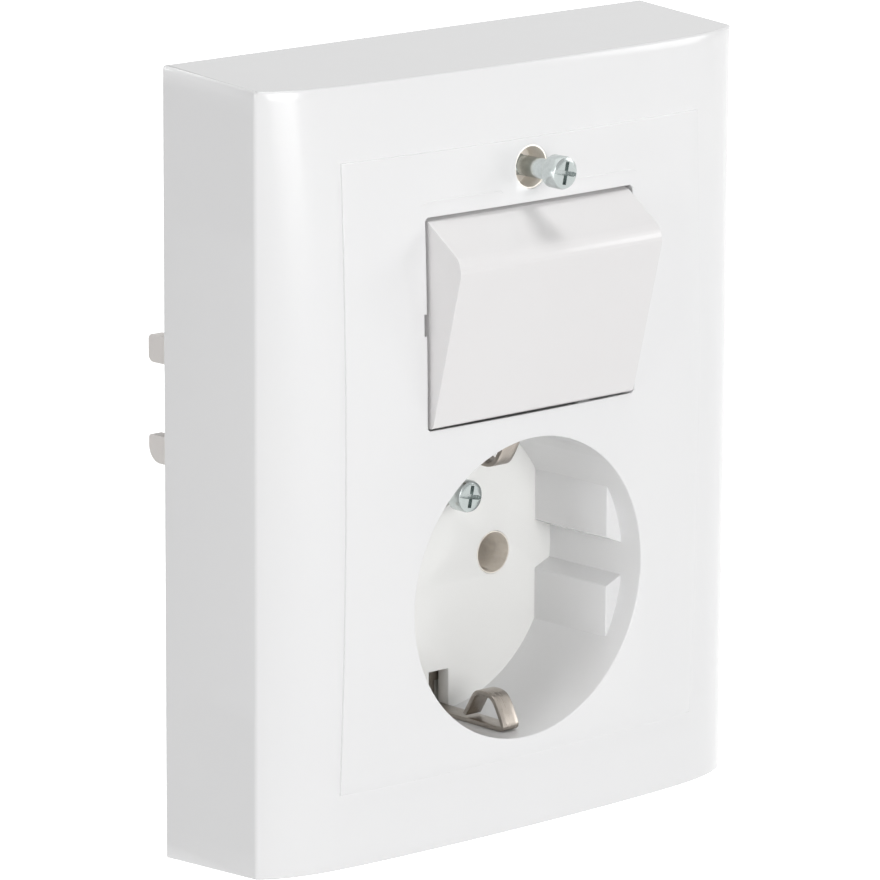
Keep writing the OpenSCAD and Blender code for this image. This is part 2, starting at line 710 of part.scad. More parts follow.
// Outline of the narrow rear part of the base and of the back plate
module rear_outline() {
    intersection() {
        circle(r = body_r - 0.2, $fn = 144);
        translate([-rear_half_w, -large/2]) square([2*rear_half_w, large/2 + rear_top_z]);
    }
}
module lever_window(side, level, gap) {
    low = terminal_z(level) - lever_h/2 - gap;
    x = side*lever_x;
    translate([x - lever_t/2 - gap, low]) square([lever_t + 2*gap, lever_h + 2*gap]);
}
module base_block() color(grey_base) {
    wall = housing_wall;
    channel_half = lever_h/2 + loose_gap;
    difference() {
        union() {
            along_y(flange_y, -frame_t) intersection() {
                circle(r = frame_h/2 - flange_margin, $fn = 144);
                square([flange_w, frame_h - 3*flange_margin], center = true);
            }
            // Tongue behind the slot of the lower earth clip
            block([-tongue_half_w, tongue_half_w], [flange_y, -frame_t], [well_z - well_r - 1, well_z]);
            along_y(-frame_t - eps, body_depth) intersection() {
                circle(r = body_r, $fn = 144);
                square([2*body_half_w, large], center = true);
            }
            along_y(0, base_depth) rear_outline();
            block([-chamber_half_w - wall, chamber_half_w + wall], [housing_y, -frame_t],
                [pivot_z - chamber_half_h - wall, pivot_z + chamber_half_h + wall]);
        }
        // Switch chamber, and the slots through its floor for the legs
        block([-chamber_half_w, chamber_half_w], [housing_y - 1, chamber_y],
            [pivot_z - chamber_half_h, pivot_z + chamber_half_h]);
        for (x = [-leg_x, leg_x]) leg_slot(x, leg_z);
        leg_slot(-low_leg_x, low_leg_z);
        // Terminal cavity, with ribs that divide it towards the back plate
        difference() {
            block([-cavity_half_w, cavity_half_w], [cavity_y, base_depth + 1],
                [-cavity_half_h, cavity_half_h]);
            block([-large, large], [rib_y, base_depth], [-rib_t/2, rib_t/2]);
            block([-rib_t/2, rib_t/2], [rib_y, base_depth], [-large, large]);
        }
        // Pockets for the pin contacts and the earth terminal
        both_sides() block([pin_x - pocket_half, pin_x + pocket_half], [sleeve_pocket_y, base_depth + 1],
            [well_z - pocket_half, -cavity_half_h + eps]);
        both_sides() rod_y(sleeve_bore_r, flange_y - 1, sleeve_pocket_y + 1, pin_x, well_z);
        block([-earth_room_half_w, earth_room_half_w], [plate_y, base_depth + 1],
            [earth_foot_z - eps, earth_plate_top + 0.8]);
        block([-earth_strap_half_w - eps, earth_strap_half_w + eps], [flange_y - 1, plate_y + 1],
            [earth_foot_z - eps, earth_foot_z + strip_t + eps]);
        block([-earth_strap_half_w - eps, earth_strap_half_w + eps], [flange_y - 1, flange_y + strip_t],
            [earth_foot_z - eps, earth_foot_z + earth_foot_h + eps]);
        // Channels for the release levers
        for (side = [-1, 1], level = [-1, 1])
            block(side > 0 ? [cavity_half_w - 1, lever_x + lever_t/2 + loose_gap]
                    : [-lever_x - lever_t/2 - loose_gap, -cavity_half_w + 1],
                [lever_slot_y, base_depth + 1],
                [terminal_z(level) - channel_half, terminal_z(level) + channel_half]);
        // Room behind the lower cover screw
        rod_y(thread_collar_r + loose_gap, flange_y - 1, flange_y + thread_collar_l + seat_gap,
            0, screw_low_z);
        rod_y(screw_pass_r, flange_y, screw_low_seat + shank_l + 1, 0, screw_low_z);
        rivet_places() rod_y(rivet_r + fit_gap, flange_y - 1, 1);
        back_screw_places() rod_y(back_screw_r + fit_gap, base_depth - back_screw_l - 1, base_depth + 1);
    }
}
module wire_places(earth = true) {
    for (side = [-1, 1], level = [-1, 1]) translate([side*wire_x, 0, terminal_z(level)]) children();
    if (earth) translate([0, 0, earth_z]) children();
}
module back_plate() color(grey_base) {
    difference() {
        union() {
            along_y(base_depth, base_depth + back_t) rear_outline();
            wire_places() rod_y(wire_r + wire_collar, base_depth - wire_collar_l, base_depth + eps);
        }
        wire_places() rod_y(wire_r, base_depth - wire_collar_l - 1, base_depth + back_t + 1);
        for (side = [-1, 1], level = [-1, 1])
            along_y(base_depth - 1, base_depth + back_t + 1) lever_window(side, level, loose_gap);
        back_screw_places() rod_y(back_screw_r + fit_gap, base_depth - 1, base_depth + back_t + 1);
    }
}
module back_screw_places() {
    for (p = back_screws) translate([p[0], 0, p[1]]) children();
}
module back_plate_screws() color(zinc) back_screw_places() {
    slot_half = 1.4;
    slot_w = 0.5;
    seat = base_depth + back_t;
    rod_y(back_screw_r, base_depth - back_screw_l, seat);
    difference() {
        rod_y(back_head_r, seat, seat + back_head_h);
        block([-slot_half, slot_half], [seat + back_head_h/2, seat + back_head_h + 1], [-slot_w/2, slot_w/2]);
    }
}

// One arm of a screw's recess, with its length, depth and width
module recess_arm(size) {
    translate([-size[0]/2, -head_h - 1, -size[2]/2]) cube([size[0], size[1] + 1, size[2]]);
}
// Cheese-head screw with its head's seat at y = 0: a slot combined with a cross
module cover_screw() {
    bevel = 0.45;
    recess_turn = 12;
    cross = [2.9, 1.1, 0.6];
    slot = [3.8, 0.6, 0.44];
    difference() {
        union() {
            rod_y(head_r, -head_h + bevel, 0);
            translate([0, -head_h + bevel, 0]) rotate([90, 0, 0])
                rotate_extrude() polygon([[0, 0], [head_r, 0], [head_r - bevel, bevel], [0, bevel]]);
            rod_y(shank_r, 0, shank_l);
        }
        for (turn = [0, 90]) rotate([0, turn + recess_turn, 0]) recess_arm(cross);
        rotate([0, recess_turn, 0]) recess_arm(slot);
    }
}
module upper_cover_screw() color(zinc)
    translate([0, screw_top_seat - screw_top_out, screw_top_z]) cover_screw();
module lower_cover_screw() color(zinc)
    translate([0, screw_low_seat - screw_low_out, screw_low_z]) cover_screw();

// Release lever: a finger behind the base, with a stop head inside and a nose beside the wire
module release_lever(side, level, inner_round, outer_round) {
    head_front = base_depth - loose_gap - lever_travel;
    head_back = base_depth - loose_gap;
    low = -lever_h/2;
    tip = base_depth + back_t + lever_out;
    out = lever_t/2;
    shoulder = lever_x - wire_x - wire_r - wire_collar - 0.4;
    nose_top = lever_h/2 + 1.1;
    translate([side*lever_x, 0, terminal_z(level)]) mirror([side < 0 ? 0 : 1, 0, 0])
        mirror([0, 0, level < 0 ? 1 : 0]) {
            along_x(-out, out) difference() {
                translate([head_front, low]) square([tip - head_front, lever_h]);
                for (end = [[low, 0, inner_round], [lever_h/2, 1, outer_round]])
                    translate([tip, end[0]]) mirror([0, end[1]]) difference() {
                        translate([-end[2], -1]) square([end[2] + 1, end[2] + 1]);
                        translate([-end[2], end[2]]) circle(end[2]);
                    }
            }
            block([out - eps, shoulder], [head_front, head_back], [low, lever_h/2]);
            block([lever_x - cavity_half_w + seat_gap, shoulder], [head_front, head_back], [0, nose_top]);
            block([shoulder - eps, lever_x - wire_x - 0.1], [head_front, head_back],
                [wire_r + wire_collar + 0.1, nose_top]);
        }
}
module upper_left_lever() color(cream) release_lever(-1, 1, 0.9, 0.75);
module lower_left_lever() color(cream) release_lever(-1, -1, 0.5, 2.2);
module upper_right_lever() color(cream) release_lever(1, 1, 0.9, 0.75);
module lower_right_lever() color(cream) release_lever(1, -1, 0.5, 2.2);

// Bent leaf that grips a wire against its terminal plate, drawn in X and Y about the wire's axis
module clamp_leaf() {
    foot = plate_y + strip_t + clamp_t/2;
    bend = [[-2.2, 0], [4.6, 0], [6.4, 1.3], [6.8, 3.6], [5.6, 5.6], [3.4, 6], [2.2, 4.2], [0.9, 0.8]];
    linear_extrude(clamp_w, center = true) ribbon([for (p = bend) p + [0, foot]], clamp_t);
}
module clamp(side, level) {
    translate([side*wire_x, 0, terminal_z(level)]) mirror([side < 0 ? 0 : 1, 0, 0]) clamp_leaf();
}
module upper_left_clamp() color(spring_steel) clamp(-1, 1);
module lower_left_clamp() color(spring_steel) clamp(-1, -1);
module upper_right_clamp() color(spring_steel) clamp(1, 1);
module lower_right_clamp() color(spring_steel) clamp(1, -1);
module earth_clamp() color(spring_steel)
    translate([0, 0, earth_z]) rotate([0, -90, 0]) clamp_leaf();

cover();
rocker();
rocker_carrier();
plunger();
plunger_spring();
contact_lever();
common_contact();
upper_contact();
lower_contact();
left_pin_contact();
right_pin_contact();
line_link();
earth_bow();
earth_strap();
support_frame();
frame_rivets();
base_block();
back_plate();
back_plate_screws();
screw_eyelet();
upper_cover_screw();
lower_cover_screw();
upper_left_lever();
lower_left_lever();
upper_right_lever();
lower_right_lever();
upper_left_clamp();
lower_left_clamp();
upper_right_clamp();
lower_right_clamp();
earth_clamp();
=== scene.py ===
"""Looks of a flush-mounted switch and socket combination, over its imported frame.

X runs to the right, Y into the wall and Z up; the wall plane is y = 0. The classes hold their sizes in
millimetres and build meshes in metres.
"""
import sys
import logging
import math
from collections.abc import Callable, Iterator, Sequence
from contextlib import contextmanager
from dataclasses import dataclass, field
from enum import Enum

import bmesh
import bpy
from mathutils import Matrix, Vector


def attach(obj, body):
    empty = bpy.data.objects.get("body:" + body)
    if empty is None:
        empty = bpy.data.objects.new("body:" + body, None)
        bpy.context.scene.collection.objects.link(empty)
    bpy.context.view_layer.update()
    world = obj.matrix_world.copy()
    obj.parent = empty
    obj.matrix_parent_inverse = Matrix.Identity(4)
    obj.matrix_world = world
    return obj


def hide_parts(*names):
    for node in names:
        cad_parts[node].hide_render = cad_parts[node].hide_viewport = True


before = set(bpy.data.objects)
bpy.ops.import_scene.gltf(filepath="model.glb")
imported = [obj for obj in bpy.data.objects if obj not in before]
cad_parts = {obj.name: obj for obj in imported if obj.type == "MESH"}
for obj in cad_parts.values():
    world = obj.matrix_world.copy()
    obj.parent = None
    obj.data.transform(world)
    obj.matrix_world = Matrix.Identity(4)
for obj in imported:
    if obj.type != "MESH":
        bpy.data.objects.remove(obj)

MM = 0.001
TOLERANCE = 0.02
ROOT_BODY = "insert_and_cover"
log = logging.getLogger("switch_and_socket")
PointTest = Callable[[float, float, float], bool]


class Part(Enum):
    """Kind of mesh element that a selection takes."""

    VERTICES = "VERT"
    EDGES = "EDGE"
    FACES = "FACE"


class Side(Enum):
    """Left or right half of the object, as the sign of X."""

    LEFT = -1
    RIGHT = 1


def srgb(colour: str, alpha: float = 1.0) -> tuple[float, float, float, float]:
    """Turns an sRGB hex colour to linear values.

    Args:
        colour: Six hex digits with a leading hash.
        alpha: Fourth value of the result.

    Returns:
        Linear red, green, blue and alpha.
    """
    values = [int(colour[i:i + 2], 16)/255 for i in (1, 3, 5)]
    linear = [v/12.92 if v <= 0.04045 else ((v + 0.055)/1.055)**2.4 for v in values]
    return (linear[0], linear[1], linear[2], alpha)


def per_mm(size: float) -> float:
    """Returns the texture scale at which a pattern's features measure this many millimetres."""
    return 1/(size*MM)


def add_node(tree: bpy.types.NodeTree, kind: str, inputs: dict | None = None, **settings: object) -> bpy.types.Node:
    """Adds a node with its settings, values and links.

    Args:
        tree: Node tree that gets the node.
        kind: Type name of the node without its ShaderNode prefix.
        inputs: Value or output socket for each input, by name or number.
        **settings: Properties of the node.

    Returns:
        The new node.
    """
    node = tree.nodes.new("ShaderNode" + kind)
    for name, value in settings.items():
        setattr(node, name, value)
    for key, value in (inputs or {}).items():
        if isinstance(value, bpy.types.NodeSocket):
            tree.links.new(value, node.inputs[key])
        else:
            node.inputs[key].default_value = value
    return node


def new_tree(name: str) -> tuple[bpy.types.Material, bpy.types.NodeTree, bpy.types.NodeSocket]:
    """Makes an empty node material.

    Args:
        name: Name of the material.

    Returns:
        The material, its node tree and the Object coordinates.
    """
    material = bpy.data.materials.new(name)
    material.use_nodes = True
    material.node_tree.nodes.clear()
    place = add_node(material.node_tree, "TexCoord").outputs["Object"]
    return material, material.node_tree, place


@dataclass(frozen=True)
class Moulding:
    """Injection-moulded or pressed plastic: its tint drifts a little, its skin has a fine relief."""

    name: str
    colour: str
    drift_colour: str
    roughness: float
    relief_mm: float
    relief_height_mm: float
    drift_mm: float = 30.0
    ior: float = 1.5
    coat: float = 0.0

    def material(self) -> bpy.types.Material:
        """Builds the plastic's node material."""
        material, tree, place = new_tree(self.name)
        drift = add_node(tree, "TexNoise", {"Vector": place, "Scale": per_mm(self.drift_mm), "Detail": 2.0})
        tint = add_node(tree, "Mix", {0: drift.outputs["Fac"], 6: srgb(self.colour), 7: srgb(self.drift_colour)},
                        data_type="RGBA")
        skin = add_node(tree, "TexNoise", {"Vector": place, "Scale": per_mm(self.relief_mm), "Detail": 3.0})
        gloss = add_node(tree, "MapRange", {"Value": skin.outputs["Fac"], "To Min": self.roughness*0.85,
                                            "To Max": self.roughness*1.15})
        relief = add_node(tree, "Bump", {"Height": skin.outputs["Fac"], "Strength": 1.0,
                                         "Distance": self.relief_height_mm*MM})
        shader = add_node(tree, "BsdfPrincipled", {
            "Base Color": tint.outputs[2], "Roughness": gloss.outputs[0], "IOR": self.ior,
            "Coat Weight": self.coat, "Coat Roughness": 0.08, "Normal": relief.outputs[0]})
        add_node(tree, "OutputMaterial", {"Surface": shader.outputs[0]})
        return material


@dataclass(frozen=True)
class Metal:
    """Sheet, strip or turned metal: drawn lines along one axis, blotches of tarnish, and optionally a painted shade
    on faces that look to the front.
    """

    name: str
    colour: str
    tarnish_colour: str
    roughness: float
    line_mm: float
    line_stretch: tuple[float, float, float]
    line_height_mm: float
    tarnish_mm: float = 6.0
    tarnish_share: float = 0.5
    # Colour of a painted shade on faces that look to the front; empty for none
    painted_shade_colour: str = ""

    def material(self) -> bpy.types.Material:
        """Builds the metal's node material."""
        material, tree, place = new_tree(self.name)
        blotch = add_node(tree, "TexNoise", {"Vector": place, "Scale": per_mm(self.tarnish_mm), "Detail": 4.0,
                                             "Roughness": 0.6})
        amount = add_node(tree, "MapRange", {"Value": blotch.outputs["Fac"], "From Min": 0.35, "From Max": 0.7,
                                             "To Max": self.tarnish_share})
        tint = add_node(tree, "Mix", {0: amount.outputs[0], 6: srgb(self.colour), 7: srgb(self.tarnish_colour)},
                        data_type="RGBA")
        if self.painted_shade_colour:
            # Painted shade: faces that look to the front are tinted darker, standing in for a darker reflection there
            facing = add_node(tree, "VectorMath", {0: tree.nodes["Texture Coordinate"].outputs["Normal"],
                                                   1: (0.0, -1.0, 0.0)}, operation="DOT_PRODUCT")
            front_shade_amount = add_node(tree, "MapRange", {"Value": facing.outputs["Value"], "From Min": 0.6, "From Max": 0.95})
            tint = add_node(tree, "Mix", {0: front_shade_amount.outputs[0], 6: tint.outputs[2], 7: srgb(self.painted_shade_colour)},
                            data_type="RGBA")
        drawn = add_node(tree, "Mapping", {"Vector": place, "Scale": self.line_stretch})
        lines = add_node(tree, "TexNoise", {"Vector": drawn.outputs[0], "Scale": per_mm(self.line_mm),
                                            "Detail": 2.0})
        gloss = add_node(tree, "MapRange", {"Value": lines.outputs["Fac"], "To Min": self.roughness*0.7,
                                            "To Max": self.roughness*1.3})
        relief = add_node(tree, "Bump", {"Height": lines.outputs["Fac"], "Strength": 1.0,
                                         "Distance": self.line_height_mm*MM})
        shader = add_node(tree, "BsdfPrincipled", {
            "Base Color": tint.outputs[2], "Metallic": 1.0, "Roughness": gloss.outputs[0],
            "Normal": relief.outputs[0]})
        add_node(tree, "OutputMaterial", {"Surface": shader.outputs[0]})
        return material


class Finish(Enum):
    """The object's finishes, each made once."""

    # Urea plastic pressed in a polished mould: neutral white, sharp gloss with a slight waviness
    COVER = Moulding("urea_white_gloss", "#EAEAEA", "#E7E7E8", 0.16, 4.0, 0.004)
    # The same plastic from another mould: a touch warmer and softer in its gloss
    ROCKER = Moulding("urea_warm_white", "#E6E5E5", "#E3E1E1", 0.22, 3.0, 0.004)
    # The well's floor: the same moulding as the cover, given a lighter white as painted light against the shade deep
    # in the well
    WELL = Moulding("urea_white_painted_light", "#F6F6F4", "#F3F3F1", 0.2, 4.0, 0.004)
    # Polyamide moulding, unpainted: creamy, with a dull even skin
    CREAM = Moulding("polyamide_cream", "#EEEAE7", "#E8E3DF", 0.45, 0.6, 0.006)
    # Glass-filled thermoset of the base: light grey, matt, with specks of filler
    BASE = Moulding("thermoset_light_grey", "#CFCFCA", "#C3C2BB", 0.55, 0.5, 0.02, drift_mm=2.0)
    # Stamped brass strip: yellow metal with rolling lines and brown tarnish
    BRASS = Metal("brass_strip", "#D9B766", "#A98445", 0.28, 0.12, (1.0, 1.0, 0.05), 0.002)
    # Nickel-plated spring strip: warm grey mirror with brownish shadows
    NICKEL = Metal("nickel_strip", "#ADA69E", "#736A61", 0.3, 0.1, (1.0, 0.05, 0.05), 0.001)
    # Zinc-plated sheet steel: cool grey, cloudy, half dull
    SHEET = Metal("zinc_plated_sheet", "#C9CDD2", "#A9ADB2", 0.34, 0.15, (0.06, 1.0, 1.0), 0.002, 3.0)
    # Bright zinc on turned steel: bluish mirror with fine lathe lines; faces that look to the front carry a painted
    # shade
    SCREW = Metal("bright_zinc_screw", "#D6DCDB", "#A9B2B1", 0.22, 0.08, (1.0, 0.3, 1.0), 0.001, 0.8,
                  painted_shade_colour="#A0A6A5")
    # Tin-plated lining of a hole: pale grey, blurred, its colour lifted near white as painted light that brightens
    # the inside of the hole
    LINING = Metal("tin_lining_painted_light", "#F8F4EE", "#E8E2DA", 0.7, 0.2, (1.0, 0.2, 1.0), 0.002, 1.5)
    # Hardened spring steel: dark grey, smooth, with an oily brown cast
    SPRING = Metal("spring_steel", "#8F9093", "#6E6A64", 0.3, 0.1, (0.1, 1.0, 1.0), 0.001, 2.0)

    def material(self) -> bpy.types.Material:
        """Returns the finish's material, built when it is first asked for."""
        return bpy.data.materials.get(self.value.name) or self.value.material()


def dress(obj: bpy.types.Object, finish: Finish) -> None:
    """Puts one finish on the whole of an object.

    Args:
        obj: Object to dress.
        finish: Finish that it gets.
    """
    material = finish.material()
    if not obj.material_slots:
        obj.data.materials.append(material)
    for held in obj.material_slots:
        held.material = material


class Bench:
    """One mesh in the making, shaped with Blender's own operators. All places and sizes are in millimetres."""

    def __init__(self, name: str) -> None:
        """Takes the object that an operator has just added.

        Args:
            name: Name of the piece.
        """
        self.obj = bpy.context.object
        self.obj.name = name
        bpy.ops.object.transform_apply(location=True, rotation=True, scale=True)

    @classmethod
    def block(cls, name: str, low: Sequence[float], high: Sequence[float]) -> "Bench":
        """Starts from a box.

        Args:
            name: Name of the piece.
            low: Lowest corner.
            high: Highest corner.

        Returns:
            The bench that holds the box.
        """
        bpy.ops.object.select_all(action="DESELECT")
        centre = [(a + b)/2*MM for a, b in zip(low, high)]
        bpy.ops.mesh.primitive_cube_add(size=1, location=centre, scale=[(b - a)*MM for a, b in zip(low, high)])
        return cls(name)

    @classmethod
    def rod(cls, name: str, radius: float, start: Sequence[float], end: Sequence[float], sides: int = 48) -> "Bench":
        """Starts from a cylinder.

        Args:
            name: Name of the piece.
            radius: Radius of the cylinder.
            start: Middle of its first end.
            end: Middle of its second end.
            sides: Number of its sides.

        Returns:
            The bench that holds the cylinder.
        """
        bpy.ops.object.select_all(action="DESELECT")
        run = Vector(end) - Vector(start)
        turn = run.to_track_quat("Z", "Y").to_euler()
        bpy.ops.mesh.primitive_cylinder_add(vertices=sides, radius=radius*MM, depth=run.length*MM,
                                            location=(Vector(start) + Vector(end))/2*MM, rotation=turn)
        return cls(name)

    @contextmanager
    def editing(self) -> Iterator[None]:
        """Opens the mesh for editing, with nothing selected, and closes it again."""
        bpy.ops.object.select_all(action="DESELECT")
        self.obj.select_set(True)
        bpy.context.view_layer.objects.active = self.obj
        bpy.ops.object.mode_set(mode="EDIT")
        bpy.ops.mesh.select_all(action="DESELECT")
        yield
        bpy.ops.object.mode_set(mode="OBJECT")

    def pick(self, part: Part, test: PointTest, add: bool = False) -> int:
        """Selects vertices by their place, edges by both their ends, or faces by their middle.

        Args:
            part: Kind of element.
            test: Says whether a place, in millimetres, is in.
            add: Keeps what was selected before.

        Returns:
            Number of elements selected by the test.
        """
        if not add:
            bpy.ops.mesh.select_all(action="DESELECT")
        bpy.ops.mesh.select_mode(type=part.value)
        mesh = bmesh.from_edit_mesh(self.obj.data)
        count = 0
        if part is Part.FACES:
            for item in mesh.faces:
                if test(*(item.calc_center_median()/MM)):
                    item.select_set(True)
                    count += 1
        else:
            for item in mesh.verts if part is Part.VERTICES else mesh.edges:
                ends = [item] if part is Part.VERTICES else item.verts
                if all(test(*(v.co/MM)) for v in ends):
                    item.select_set(True)
                    count += 1
        bmesh.update_edit_mesh(self.obj.data)
        return count

    def slice(self, axis: int, places: Sequence[float]) -> None:
        """Adds a loop of edges across the whole mesh at each place along an axis."""
        normal = tuple(1.0 if i == axis else 0.0 for i in range(3))
        for place in places:
            bpy.ops.mesh.select_all(action="SELECT")
            bpy.ops.mesh.bisect(plane_co=tuple(n*place*MM for n in normal), plane_no=normal)

    def shift(self, x: float = 0, y: float = 0, z: float = 0) -> None:
        """Moves what is selected."""
        bpy.ops.transform.translate(value=(x*MM, y*MM, z*MM))

    def stretch(self, factors: Sequence[float], centre: Sequence[float]) -> None:
        """Scales what is selected about a place."""
        bpy.ops.transform.resize(value=tuple(factors), center_override=tuple(c*MM for c in centre))

    def bevel(self, width: float, segments: int = 3) -> None:
        """Rounds the selected edges."""
        bpy.ops.mesh.bevel(offset=width*MM, segments=segments, profile=0.5, affect="EDGES", clamp_overlap=True)

    def apply(self, kind: str, **settings: object) -> "Bench":
        """Adds a modifier, sets it and applies it.

        Args:
            kind: Type of the modifier.
            **settings: Its properties.

        Returns:
            This bench.
        """
        bpy.ops.object.select_all(action="DESELECT")
        self.obj.select_set(True)
        bpy.context.view_layer.objects.active = self.obj
        modifier = self.obj.modifiers.new(kind.lower(), kind)
        for name, value in settings.items():
            setattr(modifier, name, value)
        bpy.ops.object.modifier_apply(modifier=modifier.name)
        return self

    def cut(self, *tools: "Bench") -> "Bench":
        """Takes the tools' bodies away from this one, and deletes the tools."""
        for tool in tools:
            self.apply("BOOLEAN", operation="DIFFERENCE", solver="EXACT", object=tool.obj)
            bpy.data.objects.remove(tool.obj, do_unlink=True)
        return self

    def join(self, *others: "Bench") -> "Bench":
        """Joins other benches' meshes into this one."""
        bpy.ops.object.select_all(action="DESELECT")
        for other in (*others, self):
            other.obj.select_set(True)
        bpy.context.view_layer.objects.active = self.obj
        bpy.ops.object.join()
        return self

    def soften(self, width: float, segments: int = 2, angle: float = 35) -> "Bench":
        """Rounds every edge that is sharper than the angle in degrees."""
        return self.apply("BEVEL", width=width*MM, segments=segments, limit_method="ANGLE",
                          angle_limit=math.radians(angle), use_clamp_overlap=True)

    def place(self, matrix: Matrix) -> "Bench":
        """Turns and moves the whole mesh by a matrix in metres."""
        bpy.ops.object.select_all(action="DESELECT")
        self.obj.select_set(True)
        bpy.context.view_layer.objects.active = self.obj
        self.obj.matrix_world = matrix
        bpy.ops.object.transform_apply(location=True, rotation=True, scale=True)
        return self

    def done(self, finish: Finish, slot: str, body: str, *nodes: str, angle: float = 30) -> bpy.types.Object:
        """Shades and dresses the piece, hangs it on its body and hides the nodes that it replaces.

        Args:
            finish: Finish of the piece.
            slot: Material slot; not used.
            body: Body on which it rides.
            *nodes: Nodes of the frame that it replaces.
            angle: Edges sharper than this, in degrees, stay sharp.

        Returns:
            The finished object.
        """
        bpy.ops.object.select_all(action="DESELECT")
        self.obj.select_set(True)
        bpy.context.view_layer.objects.active = self.obj
        bpy.ops.object.shade_smooth_by_angle(angle=math.radians(angle))
        dress(self.obj, finish)
        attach(self.obj, body)
        if nodes:
            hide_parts(*nodes)
        log.info("%s: %d faces", self.obj.name, len(self.obj.data.polygons))
        return self.obj


def near(value: float, target: float, tolerance: float = TOLERANCE) -> bool:
    """Says whether two lengths agree."""
    return abs(value - target) <= tolerance


def turn_about_x(degrees: float, y: float, z: float) -> Matrix:
    """Returns the matrix that turns a mesh about X and moves its origin to a place in Y and Z."""
    return Matrix.Translation((0, y*MM, z*MM)) @ Matrix.Rotation(math.radians(degrees), 4, "X")


@dataclass
class Face:
    """The crowned face of the cover."""

    width: float = 81.38
    height: float = 99.58
    side_depth: float = 16.95
    arch: float = 1.847
    shoulder: float = 2.973
    lengthwise: float = 1.698
    fullness: float = 9.76
    panel_rise: float = 0.3

    def depth(self, x: float, z: float) -> float:
        """Height of the face above the wall.

        Args:
            x: Place across the face.
            z: Place along the face.

        Returns:
            The height without the raised panel.
        """
        t = min(abs(2*x/self.width), 1.0)
        s = abs(2*z/self.height)
        side = self.arch*(1 - t*t)
        return self.side_depth + side + (self.shoulder + self.lengthwise*(1 - s*s))*(1 - t**self.fullness)


